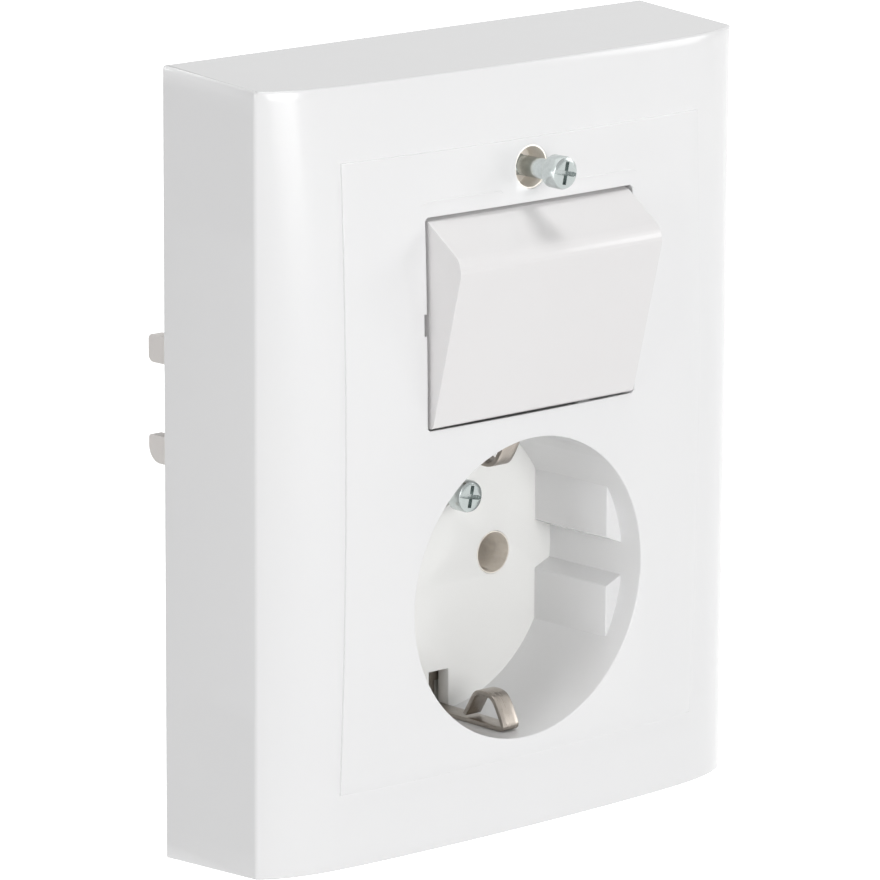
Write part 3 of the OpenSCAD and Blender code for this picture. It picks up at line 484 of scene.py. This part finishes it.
@dataclass
class CoverShell:
    """The white cover: crowned face with a raised panel, rocker opening, well and screw hole."""

    face: Face = field(default_factory=Face)
    half_w: float = 41.0
    half_h: float = 50.75
    drafts: tuple[float, float, float] = (0.31, 1.215, 0.737)
    panel: tuple[float, float, float] = (30.5, -40.0, 40.1)
    opening: tuple[float, float, float] = (17.8, 5.05, 31.95)
    notch: tuple[float, float, float] = (18.2, 17.15, 19.85)
    collar_y: float = -20.1
    collar_spread: float = 0.6
    well_z: float = -17.9
    well_r: float = 19.65
    well_patch: float = 20.9
    floor_y: float = -6.0
    screw_z: float = 36.4
    sink_r: float = 2.8
    sink_y: float = -19.49
    pass_r: float = 1.6
    pass_y: float = -18.7
    hole_patch: float = 3.6
    wall: float = 2.0
    thin_r: float = 6.5
    thin_share: float = 0.3
    hole_x: tuple[float, ...] = (0.9, 1.8, 2.7, 3.6)
    middle_x: tuple[float, ...] = (5.4, 7.2, 9.0, 10.8, 12.6, 14.4, 16.1)
    outer_x: tuple[float, ...] = (24, 27.5, 32.5, 34, 35.2, 36.2, 37.1, 37.9, 38.6, 39.2, 39.7, 40.1, 40.4)
    spare_z: tuple[float, ...] = (-48.6, -46.5, -43, 8.5, 12, 15, 22, 25.5, 29, 43, 46, 48.3)
    rim_round: float = 0.2
    edge_round: float = 0.4
    corner_round: float = 0.6
    step_round: float = 0.1

    def stations(self) -> tuple[list[float], list[float]]:
        """Returns the places of the grid's lines across and along the face."""
        across = [0.0]
        for x in (*self.hole_x, *self.middle_x, self.opening[0], self.notch[0], self.well_patch, self.panel[0],
                  *self.outer_x):
            across += [x, -x]
        inside = [x for x in across if abs(x) <= self.well_patch + TOLERANCE]
        cells = len(inside) - 1
        low = self.well_z - self.well_patch
        along = [low + i*2*self.well_patch/cells for i in range(cells + 1)]
        ring = 2*len(self.hole_x)
        along += [self.screw_z - self.hole_patch + i*2*self.hole_patch/ring for i in range(ring + 1)]
        along += [*self.panel[1:], *self.opening[1:], *self.notch[1:], *self.spare_z]
        return sorted(across), sorted(along)

    def in_opening(self, x: float, z: float, tolerance: float = 0.0) -> bool:
        """Says whether a place lies in the rocker opening or in its two notches."""
        half, low, high = self.opening
        wide = abs(x) <= half + tolerance and low - tolerance <= z <= high + tolerance
        return wide or (abs(x) <= self.notch[0] + tolerance
                        and self.notch[1] - tolerance <= z <= self.notch[2] + tolerance)

    def on_opening(self, x: float, z: float) -> bool:
        """Says whether a place lies on the outline of the rocker opening."""
        return self.in_opening(x, z, TOLERANCE) and not self.in_opening(x, z, -TOLERANCE)

    def round_hole(self, bench: Bench, z: float, patch: float, radius: float, front: float) -> None:
        """Turns a square patch of the grid into a round hole.

        Args:
            bench: Bench in edit mode.
            z: Height of the hole's middle.
            patch: Half side of the square patch.
            radius: Radius of the hole.
            front: Place of the sheet along Y.
        """
        bench.pick(Part.FACES, lambda px, py, pz: py < front + TOLERANCE and abs(px) < patch and abs(pz - z) < patch)
        bpy.ops.mesh.delete(type="ONLY_FACE")
        bench.pick(Part.VERTICES, lambda px, py, pz: py < front + TOLERANCE and abs(px) < patch - TOLERANCE
                   and abs(pz - z) < patch - TOLERANCE)
        bpy.ops.mesh.delete(type="VERT")

        def on_patch(px: float, py: float, pz: float) -> bool:
            """Says whether a place lies on the patch's outline."""
            return near(py, front) and near(max(abs(px), abs(pz - z)), patch)

        bench.pick(Part.EDGES, on_patch)
        bpy.ops.mesh.extrude_edges_move()
        bench.stretch((0.8, 1, 0.8), (0, front, z))
        bpy.ops.transform.tosphere(value=1.0, center_override=(0, front*MM, z*MM))
        chosen = [v.co for v in bmesh.from_edit_mesh(bench.obj.data).verts if v.select]
        share = radius*MM*len(chosen)/sum(math.hypot(co.x, co.z - z*MM) for co in chosen)
        bench.stretch((share, 1, share), (0, front, z))

    def on_circle(self, z: float, radius: float, low: float, high: float) -> PointTest:
        """Makes a test for places on a round rim between two depths.

        Args:
            z: Height of the rim's middle.
            radius: Radius of the rim.
            low: Front limit along Y.
            high: Back limit along Y.

        Returns:
            The test.
        """
        return lambda px, py, pz: near(math.hypot(px, pz - z), radius, 0.03) and low <= py <= high

    def crown(self, bench: Bench, front: float) -> None:
        """Lifts the flat sheet to the face's crown, a curve that no operator draws.

        Args:
            bench: Bench in edit mode.
            front: Place of the flat sheet along Y.
        """
        mesh = bmesh.from_edit_mesh(bench.obj.data)
        for vertex in mesh.verts:
            if vertex.co.y/MM < front + 0.05:
                x, _, z = vertex.co/MM
                vertex.co.y -= (self.face.depth(x, z) + front)*MM
        bmesh.update_edit_mesh(bench.obj.data)

    def rim_y(self, x: float, z: float) -> float:
        """Returns the place of the raised panel's skin along Y."""
        return -self.face.depth(x, z) - self.face.panel_rise

    def build(self) -> None:
        """Builds the shell as one sheet, then gives it its thickness."""
        front = -self.face.side_depth
        side, top, bottom = self.drafts
        bench = Bench.block("cover_shell", (-self.half_w, front, -self.half_h), (self.half_w, 0, self.half_h))
        with bench.editing():
            bench.pick(Part.FACES, lambda x, y, z: near(y, 0))
            bpy.ops.mesh.delete(type="ONLY_FACE")
            for test, move in (((lambda x, y, z: y < -1 and z > 0), (0, 0, -top)),
                               ((lambda x, y, z: y < -1 and z < 0), (0, 0, bottom)),
                               ((lambda x, y, z: y < -1 and x > 0), (-side, 0, 0)),
                               ((lambda x, y, z: y < -1 and x < 0), (side, 0, 0))):
                bench.pick(Part.VERTICES, test)
                bench.shift(*move)
            across, along = self.stations()
            bench.slice(0, across)
            bench.slice(2, along)
            half, low, high = self.panel
            bench.pick(Part.FACES, lambda x, y, z: near(y, front) and abs(x) < half and low < z < high)
            bpy.ops.mesh.extrude_region_move()
            bench.shift(y=-self.face.panel_rise)
            raised = front - self.face.panel_rise
            bench.pick(Part.FACES, lambda x, y, z: near(y, raised) and self.in_opening(x, z))
            bpy.ops.mesh.delete(type="FACE")
            self.round_hole(bench, self.well_z, self.well_patch, self.well_r, raised)
            self.round_hole(bench, self.screw_z, self.hole_patch, self.sink_r, raised)
            bpy.ops.mesh.select_all(action="SELECT")
            bpy.ops.mesh.remove_doubles(threshold=1e-6)
            self.crown(bench, front)
            self.collars(bench)
            bpy.ops.mesh.select_all(action="SELECT")
            bpy.ops.mesh.normals_make_consistent(inside=False)
            self.round_edges(bench)
        self.turn_out(bench)
        self.thicken(bench)
        bench.apply("WEIGHTED_NORMAL", keep_sharp=True, weight=60)
        bench.done(Finish.COVER, "cover_white", ROOT_BODY, "cover")

    def thicken(self, bench: Bench) -> None:
        """Gives the sheet its thickness, thinner round the screw's hole, which has the opening close by."""
        thin = bench.obj.vertex_groups.new(name="thin")
        thin.add([v.index for v in bench.obj.data.vertices
                  if math.hypot(v.co.x, v.co.z - self.screw_z*MM) < self.thin_r*MM], 1.0, "REPLACE")
        bench.apply("SOLIDIFY", thickness=self.wall*MM, offset=-1.0, use_rim=True, vertex_group=thin.name,
                    invert_vertex_group=True, thickness_vertex_group=self.thin_share)
        bench.obj.vertex_groups.clear()

    def turn_out(self, bench: Bench) -> None:
        """Turns the sheet's faces outwards if its panel faces the wall."""
        middle = min(bench.obj.data.polygons, key=lambda p: (p.center - Vector((-.025, -.023, .018))).length)
        if middle.normal.y > 0:
            with bench.editing():
                bpy.ops.mesh.select_all(action="SELECT")
                bpy.ops.mesh.flip_normals()

    def collars(self, bench: Bench) -> None:
        """Draws the rims of the openings back to their collars, and the seat of the screw."""
        bench.pick(Part.EDGES, lambda x, y, z: self.on_opening(x, z) and near(y, self.rim_y(x, z), 0.05))
        bpy.ops.mesh.extrude_edges_move()
        pivot = self.screw_z/2
        bench.shift(y=self.face.side_depth/4)
        bench.stretch((1, 0, 1), (0, self.collar_y, pivot))
        middle = (self.opening[1] + self.opening[2])/2
        bench.stretch((1, 1, 1 + 2*self.collar_spread/(self.opening[2] - self.opening[1])),
                      (0, self.collar_y, middle))
        for z, radius, stop in ((self.well_z, self.well_r, self.floor_y), (self.screw_z, self.sink_r, self.sink_y)):
            bench.pick(Part.EDGES, self.on_circle(z, radius, -40, -15))
            bpy.ops.mesh.extrude_edges_move()
            bench.shift(y=1)
            bench.stretch((1, 0, 1), (0, stop, z))
        bpy.ops.mesh.extrude_edges_move()
        share = self.pass_r/self.sink_r
        bench.stretch((share, 1, share), (0, self.sink_y, self.screw_z))
        bpy.ops.mesh.extrude_edges_move()
        bench.shift(y=self.pass_y - self.sink_y)

    def round_edges(self, bench: Bench) -> None:
        """Rounds the rims, the panel's step and the outer edges."""
        half, low, high = self.panel
        opening_half, opening_low, opening_high = self.opening
        bench.pick(Part.EDGES, lambda x, y, z: near(abs(x), opening_half)
                   and min(abs(z - opening_low), abs(z - opening_high)) < self.collar_spread + TOLERANCE)
        bench.bevel(self.corner_round, 4)
        bench.pick(Part.EDGES, lambda x, y, z: self.in_opening(x, z, 0.03) and near(y, self.rim_y(x, z), 0.03))
        bench.pick(Part.EDGES, self.on_circle(self.well_z, self.well_r, -40, -20), add=True)
        bench.bevel(self.rim_round)
        bench.pick(Part.EDGES, self.on_circle(self.screw_z, self.sink_r, -40, -22))
        bench.bevel(self.rim_round/2, 2)

        def on_step(x: float, y: float, z: float) -> bool:
            """Says whether a place lies on the panel's outline."""
            inside = abs(x) <= half + TOLERANCE and low - TOLERANCE <= z <= high + TOLERANCE
            return inside and (near(abs(x), half) or near(z, low) or near(z, high)) \
                and near(y, self.rim_y(x, z), 0.03)

        bench.pick(Part.EDGES, on_step)
        bench.bevel(self.step_round, 2)
        edge = self.half_w - self.drafts[0]
        top, bottom = self.half_h - self.drafts[1], -self.half_h + self.drafts[2]
        bench.pick(Part.EDGES, lambda x, y, z: y < -self.face.side_depth + 0.05
                   and (near(abs(x), edge, 0.05) or near(z, top, 0.05) or near(z, bottom, 0.05)))
        bench.pick(Part.EDGES, lambda x, y, z: abs(x) > edge - 0.01 and (z > top - 0.01 or z < bottom + 0.01),
                   add=True)
        bench.bevel(self.edge_round, 3)


@dataclass
class WellFloor:
    """Floor of the socket's well with its holes, and the two guides at its sides."""

    centre_z: float = -17.9
    radius: float = 20.4
    well_r: float = 19.65
    front_y: float = -6.0
    back_y: float = -4.0
    pin_x: float = 9.5
    pin_r: float = 2.85
    slot: tuple[float, float] = (1.7, 5.4)
    screw_z: float = -8.0
    sink: tuple[float, float] = (2.8, 1.4)
    pass_r: float = 1.6
    ledge_x: float = 16.9
    ledge_y: float = -19.52
    groove: tuple[float, float] = (3.25, 2.1)

    def build(self) -> None:
        """Builds the floor and both guides."""
        middle = self.centre_z
        floor = Bench.rod("well_floor", self.radius, (0, self.front_y, middle), (0, self.back_y, middle), 96)
        holes = [Bench.rod("hole", self.pin_r, (x, -9, middle), (x, 0, middle)) for x in (-self.pin_x, self.pin_x)]
        holes.append(Bench.rod("hole", self.sink[0], (0, -9, self.screw_z), (0, self.front_y + self.sink[1],
                                                                           self.screw_z)))
        holes.append(Bench.rod("hole", self.pass_r, (0, -9, self.screw_z), (0, 0, self.screw_z)))
        for side in (-1, 1):
            ends = sorted((middle + side*(self.well_r - self.slot[1]), middle + side*self.well_r))
            holes.append(Bench.block("slot", (-self.slot[0], -9, ends[0]), (self.slot[0], 0, ends[1])))
        floor.cut(*holes).soften(0.2)
        # Painted light: the floor's white is lighter than the cover's, to offset the shade deep in the well
        floor.done(Finish.WELL, "cover_white", ROOT_BODY)
        for side in Side:
            self.guide(side)

    def guide(self, side: Side) -> None:
        """Builds one guide: a segment of the well with a groove that narrows towards its wall.

        Args:
            side: Side of the well.
        """
        middle = self.centre_z
        ledge = Bench.rod(f"{side.name.lower()}_guide", self.radius, (0, self.ledge_y, middle),
                          (0, self.front_y + 0.5, middle), 144)
        with ledge.editing():
            bpy.ops.mesh.select_all(action="SELECT")
            bpy.ops.mesh.bisect(plane_co=(side.value*self.ledge_x*MM, 0, 0), plane_no=(side.value, 0, 0),
                                use_fill=True, clear_inner=True)
        wide, narrow = self.groove
        flare = (wide - narrow)/(self.well_r - self.ledge_x)
        inner, outer = self.ledge_x - 1, self.radius + 0.5
        ends = sorted((side.value*inner, side.value*outer))
        wedge = Bench.block("wedge", (ends[0], self.ledge_y - 2, middle - 1), (ends[1], self.front_y + 1, middle + 1))
        with wedge.editing():
            for reach, half in ((inner, wide + flare), (outer, narrow - flare*(outer - self.well_r))):
                wedge.pick(Part.VERTICES, lambda x, y, z: near(abs(x), reach))
                wedge.stretch((1, 1, half), (0, 0, middle))
        ledge.cut(wedge).soften(0.5, 4)
        ledge.done(Finish.COVER, "cover_white", ROOT_BODY)


@dataclass
class RockerCap:
    """The switch's rocker: a flat cap with flared skirts and two trunnions, tilted top out."""

    pivot: tuple[float, float] = (-16.6356, 18.5)
    tilt: float = 14.0
    front: float = -10.05
    half_h: float = 11.1
    full_h: float = 14.0
    half_w: float = 17.3
    knee: float = -2.6
    skirt: float = -0.5
    wall: float = 1.6
    nose_round: float = 1.7
    foot_round: float = 0.5
    side_round: float = 1.3
    trunnion_r: float = 1.3
    trunnion_end: float = 19.6
    ear_r: float = 2.6

    def build(self) -> None:
        """Builds the cap in its middle position and turns it about its pivot."""
        cap = Bench.block("rocker_cap", (-self.half_w, self.front, -self.full_h), (self.half_w, self.skirt, self.full_h))
        with cap.editing():
            cap.slice(1, [self.knee])
            cap.pick(Part.VERTICES, lambda x, y, z: near(y, self.front))
            cap.stretch((1, 1, self.half_h/self.full_h), (0, self.front, 0))
            cap.pick(Part.FACES, lambda x, y, z: near(y, self.skirt))
            bpy.ops.mesh.delete(type="ONLY_FACE")
            for sign, width in ((1, self.nose_round), (-1, self.foot_round)):
                cap.pick(Part.EDGES, lambda x, y, z: near(y, self.front) and sign*z > self.half_h - 0.1)
                cap.bevel(width, 6)
            cap.pick(Part.EDGES, lambda x, y, z: near(abs(x), self.half_w) and y < self.knee + 0.1)
            cap.bevel(self.side_round, 5)
        cap.apply("SOLIDIFY", thickness=self.wall*MM, offset=-1.0, use_rim=True)
        for side in Side:
            inner = side.value*(self.half_w - self.wall)
            ear = Bench.rod("ear", self.ear_r, (inner, 0, 0), (side.value*self.half_w, 0, 0))
            neck = Bench.block("neck", (min(inner, side.value*self.half_w), self.knee, -self.ear_r),
                               (max(inner, side.value*self.half_w), 0, self.ear_r))
            trunnion = Bench.rod("trunnion", self.trunnion_r, (side.value*(self.half_w - 0.5), 0, 0),
                                 (side.value*self.trunnion_end, 0, 0))
            cap.join(ear.soften(0.15), neck, trunnion.soften(0.15))
        cap.apply("WEIGHTED_NORMAL", keep_sharp=True, weight=60)
        cap.place(turn_about_x(self.tilt, *self.pivot))
        cap.done(Finish.ROCKER, "rocker_white", "rocker", "rocker")


@dataclass
class CoverScrew:
    """Cheese-head screw with a combined slot and cross, and a cut thread."""

    name: str
    body: str
    seat: tuple[float, float]
    head_r: float = 2.1
    head_h: float = 2.3
    head_bevel: float = 0.45
    shank_r: float = 1.3
    core_r: float = 1.0
    shank_l: float = 11.4
    plain_l: float = 5.4
    pitch: float = 0.6
    recess_turn: float = 12.0
    cross: tuple[float, float, float] = (2.9, 1.1, 0.6)
    slot: tuple[float, float, float] = (3.8, 0.6, 0.44)

    def build(self) -> None:
        """Builds the head, the core and the thread, with the seat at the origin, and moves them."""
        head = Bench.rod(self.name + "_turned", self.head_r, (0, -self.head_h, 0), (0, 0, 0), 64)
        with head.editing():
            head.pick(Part.EDGES, lambda x, y, z: near(y, -self.head_h))
            head.bevel(self.head_bevel, 2)
            head.pick(Part.EDGES, lambda x, y, z: near(y, 0))
            head.bevel(0.12, 2)
        head.cut(self.recess_arm(self.cross, 0), self.recess_arm(self.cross, 90), self.recess_arm(self.slot, 0))
        head.soften(0.05, 1, 50)
        core = Bench.rod("core", self.core_r, (0, -0.2, 0), (0, self.shank_l, 0), 32)
        with core.editing():
            core.pick(Part.EDGES, lambda x, y, z: near(y, self.shank_l))
            core.bevel(0.3, 2)
        plain = Bench.rod("plain", self.shank_r, (0, -0.2, 0), (0, self.plain_l, 0), 40).soften(0.12, 2)
        head.join(core, plain, self.thread())
        head.place(Matrix.Translation((0, self.seat[0]*MM, self.seat[1]*MM)))
        head.done(Finish.SCREW, "zinc_screw", self.body, self.name, angle=40)

    def recess_arm(self, size: tuple[float, float, float], turn: float) -> Bench:
        """Makes the cutter of one arm of the recess.

        Args:
            size: Length, depth and width of the arm.
            turn: Angle of the arm in degrees.

        Returns:
            The cutter.
        """
        length, depth, width = size
        arm = Bench.block("arm", (-length/2, -self.head_h - 1, -width/2), (length/2, -self.head_h + depth, width/2))
        return arm.place(Matrix.Rotation(math.radians(turn + self.recess_turn), 4, "Y"))

    def thread(self) -> Bench:
        """Winds the thread's edge line round the core.

        Returns:
            The bench that holds the thread.
        """
        bpy.ops.object.select_all(action="DESELECT")
        bpy.ops.mesh.primitive_circle_add(vertices=4, radius=0.1*MM, location=(0, 0, 0))
        ridge = Bench("thread")
        points = ((self.core_r - 0.02, 0.0), (self.shank_r, self.pitch*0.42), (self.shank_r, self.pitch*0.58),
                  (self.core_r - 0.02, self.pitch))
        with ridge.editing():
            mesh = bmesh.from_edit_mesh(ridge.obj.data)
            mesh.verts.ensure_lookup_table()
            mesh.edges.remove(next(e for e in mesh.edges if {v.index for v in e.verts} == {0, 3}))
            for vertex, (radius, along) in zip(mesh.verts, points):
                vertex.co = (radius*MM, (self.plain_l - 0.1 + along)*MM, 0)
            bmesh.update_edit_mesh(ridge.obj.data)
        turns = int((self.shank_l - self.plain_l - 0.4)/self.pitch)
        ridge.apply("SCREW", axis="Y", angle=2*math.pi, screw_offset=self.pitch*MM, iterations=turns, steps=24,
                    render_steps=24, use_merge_vertices=True, merge_threshold=1e-6)
        with ridge.editing():
            bpy.ops.mesh.select_all(action="SELECT")
            bpy.ops.mesh.remove_doubles(threshold=2e-6)
            bpy.ops.mesh.normals_make_consistent(inside=False)
        return ridge


@dataclass
class EarthBow:
    """Nickel-plated spring strip: a strap behind the floor and a bent clip at each end of the well."""

    centre_z: float = -17.9
    half_w: float = 1.35
    thickness: float = 0.6
    strap_y: float = -3.4
    leg: float = 19.25
    front_y: float = -19.48
    bend: tuple[tuple[float, float], ...] = (
        (0.7, 0.0), (0.1, -0.05), (-0.1, -0.35), (0.05, -0.8), (0.55, -1.8), (1.25, -3.0), (1.9, -3.85), (2.8, -4.15),
        (3.8, -4.2), (4.7, -4.1), (5.3, -3.7), (5.75, -2.9), (6.4, -1.8), (7.1, -0.7))
    strap_half_w: float = 3.5
    collar: tuple[float, float, float] = (2.5, 1.35, -8.0)

    def build(self) -> None:
        """Draws the strip point by point, then gives it thickness and rounding."""
        line = [(self.strap_y, 0.0), (self.strap_y, self.leg*0.5), (self.strap_y, self.leg - 0.7),
                (self.strap_y - 0.2, self.leg - 0.15), (self.strap_y - 0.9, self.leg), (-9.0, self.leg),
                (-14.0, self.leg), *((self.front_y + y, self.leg + z) for y, z in self.bend)]
        clips = [self.clip(line, sign) for sign in (-1, 1)]
        strap = Bench.block("strap", (-self.strap_half_w, -3.8, self.centre_z - self.leg + 3),
                            (self.strap_half_w, -3.0, self.centre_z + self.leg - 3)).soften(0.15)
        outer, inner, z = self.collar
        collar = Bench.rod("collar", outer, (0, -3.8, z), (0, -1.5, z))
        strap.join(collar)
        strap.cut(Bench.rod("bore", inner, (0, -6, z), (0, 0, z)))
        strap.join(*clips)
        strap.obj.name = "earth_bow_bent"
        strap.done(Finish.NICKEL, "nickel", ROOT_BODY, "earth_bow", angle=40)

    def clip(self, line: Sequence[tuple[float, float]], sign: int) -> Bench:
        """Bends one clip along a line of points.

        Args:
            line: Points in Y and outwards from the well's middle.
            sign: 1 for the upper clip and -1 for the lower.

        Returns:
            The bench that holds the clip.
        """
        bpy.ops.object.select_all(action="DESELECT")
        bpy.ops.mesh.primitive_plane_add(size=2*self.half_w*MM)
        strip = Bench("clip")
        with strip.editing():
            bpy.ops.mesh.select_all(action="SELECT")
            bpy.ops.mesh.delete(type="ONLY_FACE")
            strip.pick(Part.VERTICES, lambda x, y, z: y > 0)
            bpy.ops.mesh.delete(type="VERT")
            bpy.ops.mesh.select_all(action="SELECT")
            y, out = line[0]
            strip.shift(y=self.half_w + y, z=self.centre_z + sign*out)
            for (y0, out0), (y1, out1) in zip(line, line[1:]):
                bpy.ops.mesh.extrude_edges_move()
                strip.shift(y=y1 - y0, z=sign*(out1 - out0))
            bpy.ops.mesh.select_all(action="SELECT")
            bpy.ops.mesh.normals_make_consistent(inside=False)
        strip.apply("SUBSURF", levels=2, render_levels=2, boundary_smooth="PRESERVE_CORNERS")
        strip.apply("SOLIDIFY", thickness=self.thickness*MM, offset=0.0, use_rim=True, use_even_offset=True)
        return strip.soften(0.08, 2, 50)


@dataclass
class FrameDress:
    """Finishes of the nodes that keep the frame's own shape, and the fine rounding of the larger ones."""

    finishes: dict[Finish, tuple[str, ...]] = field(default_factory=lambda: {
        Finish.CREAM: ("rocker_carrier", "plunger", "upper_left_lever", "lower_left_lever", "upper_right_lever",
                       "lower_right_lever"),
        Finish.BASE: ("base_block", "back_plate"),
        Finish.BRASS: ("contact_lever", "common_contact", "upper_contact", "lower_contact", "line_link"),
        Finish.NICKEL: ("earth_strap",),
        # Painted light: the pin contacts and the eyelet wear a lining lifted near white, to brighten the inside of
        # their holes
        Finish.LINING: ("left_pin_contact", "right_pin_contact", "screw_eyelet"),
        Finish.SHEET: ("support_frame", "frame_rivets"),
        Finish.SCREW: ("back_plate_screws",),
        Finish.SPRING: ("plunger_spring", "upper_left_clamp", "lower_left_clamp", "upper_right_clamp",
                        "lower_right_clamp", "earth_clamp")})
    rounding: dict[str, float] = field(default_factory=lambda: {
        "base_block": 0.3, "back_plate": 0.25, "support_frame": 0.12, "upper_left_lever": 0.25,
        "lower_left_lever": 0.25, "upper_right_lever": 0.25, "lower_right_lever": 0.25})

    def build(self) -> None:
        """Dresses each node, and rounds the edges of those listed."""
        for finish, nodes in self.finishes.items():
            for name in nodes:
                dress(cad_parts[name], finish)
                log.info("%s: %s", name, finish.value.name)
        for name, width in self.rounding.items():
            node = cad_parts[name]
            weld = node.modifiers.new("weld", "WELD")
            weld.merge_threshold = 2e-6
            bevel = node.modifiers.new("rounding", "BEVEL")
            bevel.width = width*MM
            bevel.segments = 2
            bevel.limit_method = "ANGLE"
            bevel.angle_limit = math.radians(40)


@dataclass
class Studio:
    """Camera at the photograph's place, pale floor, white background and soft lamps."""

    place: tuple[float, float, float] = (-538.096, -595.832, 177.514)
    yaw: float = -0.73959
    pitch: float = -0.22062
    roll: float = -0.00473
    focal: float = 6367.84
    image: float = 880.0
    sensor: float = 36.0
    floor_z: float = -75.0
    sky: float = 0.3
    lamps: tuple[tuple[tuple[float, float, float], float, float], ...] = (
        ((-260.0, -1261.0, 156.0), 700.0, 7.6),
        ((-1270.0, -260.0, 65.0), 500.0, 4.0),
        ((130.0, -190.0, 1279.0), 500.0, 5.3),
        ((1040.0, -715.0, 260.0), 500.0, 2.0))

    def camera(self) -> None:
        """Places the camera."""
        data = bpy.data.cameras.new("camera")
        data.sensor_width = self.sensor
        data.lens = self.focal/self.image*self.sensor
        data.clip_start, data.clip_end = 0.01, 20
        holder = bpy.data.objects.new("camera", data)
        bpy.context.scene.collection.objects.link(holder)
        turn = Matrix.Rotation(self.yaw, 4, "Z") @ Matrix.Rotation(self.pitch, 4, "X") \
            @ Matrix.Rotation(self.roll, 4, "Y") @ Matrix.Rotation(math.pi/2, 4, "X")
        holder.matrix_world = Matrix.Translation(Vector(self.place)*MM) @ turn
        bpy.context.scene.camera = holder

    def lights(self) -> None:
        """Hangs the area lamps, each aimed at the object."""
        for number, (spot, size, power) in enumerate(self.lamps, 1):
            data = bpy.data.lights.new(f"lamp_{number}", "AREA")
            data.shape = "DISK"
            data.size = size*MM
            data.energy = power
            lamp = bpy.data.objects.new(data.name, data)
            bpy.context.scene.collection.objects.link(lamp)
            lamp.location = Vector(spot)*MM
            lamp.rotation_euler = (-lamp.location).to_track_quat("-Z", "Y").to_euler()

    def surroundings(self) -> None:
        """Makes the floor, and a world that is white to the eye and plain to the object."""
        bpy.ops.object.select_all(action="DESELECT")
        bpy.ops.mesh.primitive_plane_add(size=6, location=(0, 0, 0))
        floor = Bench("floor")
        floor.place(Matrix.Translation((0, 0, self.floor_z*MM)))
        material, tree, place = new_tree("pale_floor")
        grain = add_node(tree, "TexNoise", {"Vector": place, "Scale": per_mm(40)})
        tint = add_node(tree, "Mix", {0: grain.outputs["Fac"], 6: srgb("#F2F2F2"), 7: srgb("#EFEFEF")},
                        data_type="RGBA")
        plain = add_node(tree, "BsdfDiffuse", {"Color": tint.outputs[2]})
        path = add_node(tree, "LightPath")
        seen = add_node(tree, "Math", {0: path.outputs["Is Camera Ray"], 1: path.outputs["Is Glossy Ray"]},
                        operation="MAXIMUM")
        glow = add_node(tree, "Emission", {"Color": (1, 1, 1, 1), "Strength": seen.outputs[0]})
        both = add_node(tree, "AddShader", {0: plain.outputs[0], 1: glow.outputs[0]})
        add_node(tree, "OutputMaterial", {"Surface": both.outputs[0]})
        floor.obj.data.materials.append(material)
        world = bpy.data.worlds.new("studio")
        bpy.context.scene.world = world
        world.use_nodes = True
        tree = world.node_tree
        tree.nodes.clear()
        path = add_node(tree, "LightPath")
        seen = add_node(tree, "Math", {0: path.outputs["Is Camera Ray"], 1: path.outputs["Is Glossy Ray"]},
                        operation="MAXIMUM")
        seen = add_node(tree, "Math", {0: seen.outputs[0], 1: path.outputs["Is Transmission Ray"]},
                        operation="MAXIMUM")
        level = add_node(tree, "MapRange", {"Value": seen.outputs[0], "To Min": self.sky, "To Max": 1.0})
        sky = add_node(tree, "Background", {"Color": (1, 1, 1, 1), "Strength": level.outputs[0]})
        add_node(tree, "OutputWorld", {"Surface": sky.outputs[0]})

    def build(self) -> None:
        """Sets up the whole studio."""
        self.camera()
        self.lights()
        self.surroundings()
        bpy.context.scene.view_settings.view_transform = "Standard"


def main() -> None:
    """Builds the studio and every piece."""
    logging.basicConfig(level=logging.INFO, format="%(name)s: %(message)s", stream=sys.stdout)
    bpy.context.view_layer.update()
    Studio().build()
    CoverShell().build()
    WellFloor().build()
    RockerCap().build()
    CoverScrew("upper_cover_screw", "upper_screw", (-26.79, 36.4)).build()
    CoverScrew("lower_cover_screw", "lower_screw", (-9.7, -8.0)).build()
    EarthBow().build()
    FrameDress().build()


if __name__ == "__main__":
    main()
